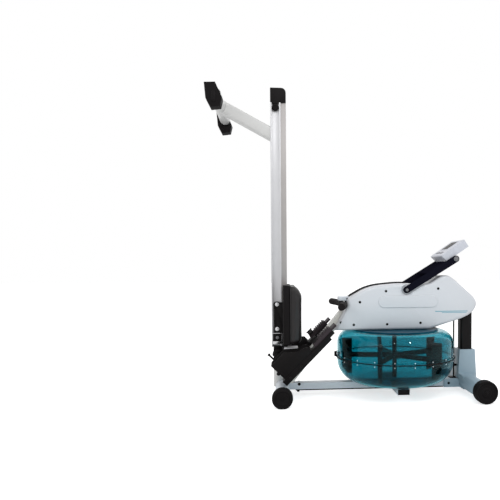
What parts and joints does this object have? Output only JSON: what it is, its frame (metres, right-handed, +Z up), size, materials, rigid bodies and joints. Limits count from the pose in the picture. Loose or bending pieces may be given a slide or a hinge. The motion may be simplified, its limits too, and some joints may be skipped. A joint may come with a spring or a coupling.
{
  "type": "water rowing machine",
  "caption": "Folding rowing machine with a clear water tank and paddles, a sliding seat on an upright rail, strap-in footrests, a pull handle and a tilting console",
  "frame": {"origin": "on the floor, under the middle of the bounding box", "axes": "+X from the rear foot to the front post, +Y across the machine, +Z up, with the rail folded up"},
  "size_m": [1.1652, 0.528, 1.3256],
  "materials": {
    "white_paint": "smooth white powder coat",
    "white_shell": "satin white moulded shell",
    "console_shell": "fine grained light grey moulding",
    "cream_paint": "smooth off-white paint",
    "black_paint": "satin black powder coat",
    "black_plastic": "fine grained black moulding",
    "black_rubber": "matt black rubber",
    "clear_tank": "clear polycarbonate over teal water",
    "paddle_plastic": "dark moulded paddles",
    "zinc_steel": "zinc plated steel",
    "rail_aluminium": "satin anodised extrusion, brushed along its length",
    "black_foam": "soft black foam grip",
    "black_webbing": "flat woven webbing",
    "button_rubber": "dark grey silicone keys",
    "roller_plastic": "hard smooth wheel plastic",
    "seat_skin": "soft black moulded seat skin"
  },
  "bodies": {
    "frame": {"mid_tube": "white_paint", "mid_cap_far": "black_rubber", "mid_cap_near": "black_rubber", "mid_neck": "white_paint", "fold_bracket": "black_paint", "fold_bolt": "zinc_steel", "main_beam": "white_paint", "beam_skid": "black_plastic", "tank_arm_far": "white_paint", "tank_arm_near": "white_paint", "front_cover": "white_shell", "front_axle": "black_paint", "front_post": "black_paint", "incline_tube": "cream_paint", "stay_rod": "black_paint", "foot_bar": "black_paint", "footrest_far": "black_plastic", "footrest_near": "black_plastic", "heel_cup_far": "black_plastic", "heel_cup_near": "black_plastic", "housing_far": "white_shell", "housing_near": "white_shell", "tank_bowl": "clear_tank", "tank_bell": "clear_tank", "tank_gasket": "black_rubber", "tank_lid": "black_plastic", "tank_valve": "black_rubber", "handle_rest": "white_paint", "arm_axle": "zinc_steel"},
    "rail": {"rail": "rail_aluminium", "rail_cap": "black_plastic", "bumper_far": "black_rubber", "bumper_near": "black_rubber", "rail_bracket": "black_plastic", "rear_leg": "white_paint", "rear_tube": "white_paint", "rear_foot_far": "black_rubber", "rear_foot_near": "black_rubber"},
    "seat": {"seat_cushion": "seat_skin", "seat_base": "black_plastic", "seat_carriage": "black_paint"},
    "roller_low_far": {"roller_low_far": "roller_plastic"},
    "roller_low_near": {"roller_low_near": "roller_plastic"},
    "roller_high_far": {"roller_high_far": "roller_plastic"},
    "roller_high_near": {"roller_high_near": "roller_plastic"},
    "handle": {"handle_bar": "black_foam", "handle_strap": "black_webbing"},
    "strap_drum": {"strap_drum": "black_plastic"},
    "impeller": {"impeller": "paddle_plastic"},
    "console_arm": {"console_arm": "black_paint"},
    "console": {"console_case": "console_shell"},
    "button_far": {"button_far": "button_rubber"},
    "button_near": {"button_near": "button_rubber"},
    "toe_far": {"toe_plate_far": "black_plastic", "foot_strap_far": "black_webbing"},
    "toe_near": {"toe_plate_near": "black_plastic", "foot_strap_near": "black_webbing"},
    "lock_pin": {"lock_pin": "zinc_steel"},
    "wheel_far": {"wheel_far": "black_rubber"},
    "wheel_near": {"wheel_near": "black_rubber"}
  },
  "joints": [
    {"name": "rail_fold", "type": "hinge", "parent": "frame", "child": "rail", "pos_m": [-0.30801, 0, 0.178], "axis": [0, 1, 0], "range_deg": [-85, 0]},
    {"name": "seat_slide", "type": "slide", "parent": "rail", "child": "seat", "axis": [0, 0, 1], "range_m": [0, 0.8]},
    {"name": "roller_low_far_spin", "type": "hinge", "parent": "seat", "child": "roller_low_far", "pos_m": [-0.31101, 0, 0.2933], "axis": [0, 1, 0], "continuous": true},
    {"name": "roller_low_near_spin", "type": "hinge", "parent": "seat", "child": "roller_low_near", "pos_m": [-0.31101, 0, 0.2933], "axis": [0, 1, 0], "continuous": true},
    {"name": "roller_high_far_spin", "type": "hinge", "parent": "seat", "child": "roller_high_far", "pos_m": [-0.31101, 0, 0.3963], "axis": [0, 1, 0], "continuous": true},
    {"name": "roller_high_near_spin", "type": "hinge", "parent": "seat", "child": "roller_high_near", "pos_m": [-0.31101, 0, 0.3963], "axis": [0, 1, 0], "continuous": true},
    {"name": "handle_pull", "type": "slide", "parent": "frame", "child": "handle", "axis": [-1, 0, 0], "range_m": [0, 0.14], "stiffness_N_per_m": 40, "springref_m": -0.1},
    {"name": "drum_spin", "type": "hinge", "parent": "frame", "child": "strap_drum", "pos_m": [0.21199, 0, 0.3319], "axis": [0, 0, 1], "continuous": true},
    {"name": "impeller_spin", "type": "hinge", "parent": "frame", "child": "impeller", "pos_m": [0.21199, 0, 0.16], "axis": [0, 0, 1], "continuous": true},
    {"name": "console_arm_tilt", "type": "hinge", "parent": "frame", "child": "console_arm", "pos_m": [0.24599, 0, 0.4599], "axis": [0, 1, 0], "range_deg": [-60, 0]},
    {"name": "console_tilt", "type": "hinge", "parent": "console_arm", "child": "console", "pos_m": [0.46256, 0, 0.59262], "axis": [0, 1, 0], "range_deg": [0, 35]},
    {"name": "button_far_press", "type": "slide", "parent": "console", "child": "button_far", "axis": [0.5592, 0, -0.829], "range_m": [0, 0.0013], "stiffness_N_per_m": 400, "springref_m": -0.001},
    {"name": "button_near_press", "type": "slide", "parent": "console", "child": "button_near", "axis": [0.5592, 0, -0.829], "range_m": [0, 0.0013], "stiffness_N_per_m": 400, "springref_m": -0.001},
    {"name": "toe_far_slide", "type": "slide", "parent": "frame", "child": "toe_far", "axis": [0.7034, 0, 0.7108], "range_m": [0, 0.03]},
    {"name": "toe_near_slide", "type": "slide", "parent": "frame", "child": "toe_near", "axis": [0.7034, 0, 0.7108], "range_m": [0, 0.03]},
    {"name": "lock_pin_pull", "type": "slide", "parent": "frame", "child": "lock_pin", "axis": [-0.7071, 0, 0.7071], "range_m": [0, 0.008], "stiffness_N_per_m": 400, "springref_m": -0.004},
    {"name": "wheel_far_roll", "type": "hinge", "parent": "frame", "child": "wheel_far", "pos_m": [0.53499, 0, 0.04759], "axis": [0, 1, 0], "continuous": true},
    {"name": "wheel_near_roll", "type": "hinge", "parent": "frame", "child": "wheel_near", "pos_m": [0.53499, 0, 0.04759], "axis": [0, 1, 0], "continuous": true}
  ],
  "couplings": [
    {"joint": "roller_low_far_spin", "follows": "seat_slide", "rad_per_m": 64.516},
    {"joint": "roller_low_near_spin", "follows": "seat_slide", "rad_per_m": 64.516},
    {"joint": "roller_high_far_spin", "follows": "seat_slide", "rad_per_m": 64.516},
    {"joint": "roller_high_near_spin", "follows": "seat_slide", "rad_per_m": 64.516},
    {"joint": "drum_spin", "follows": "handle_pull", "rad_per_m": 31.25}
  ]
}
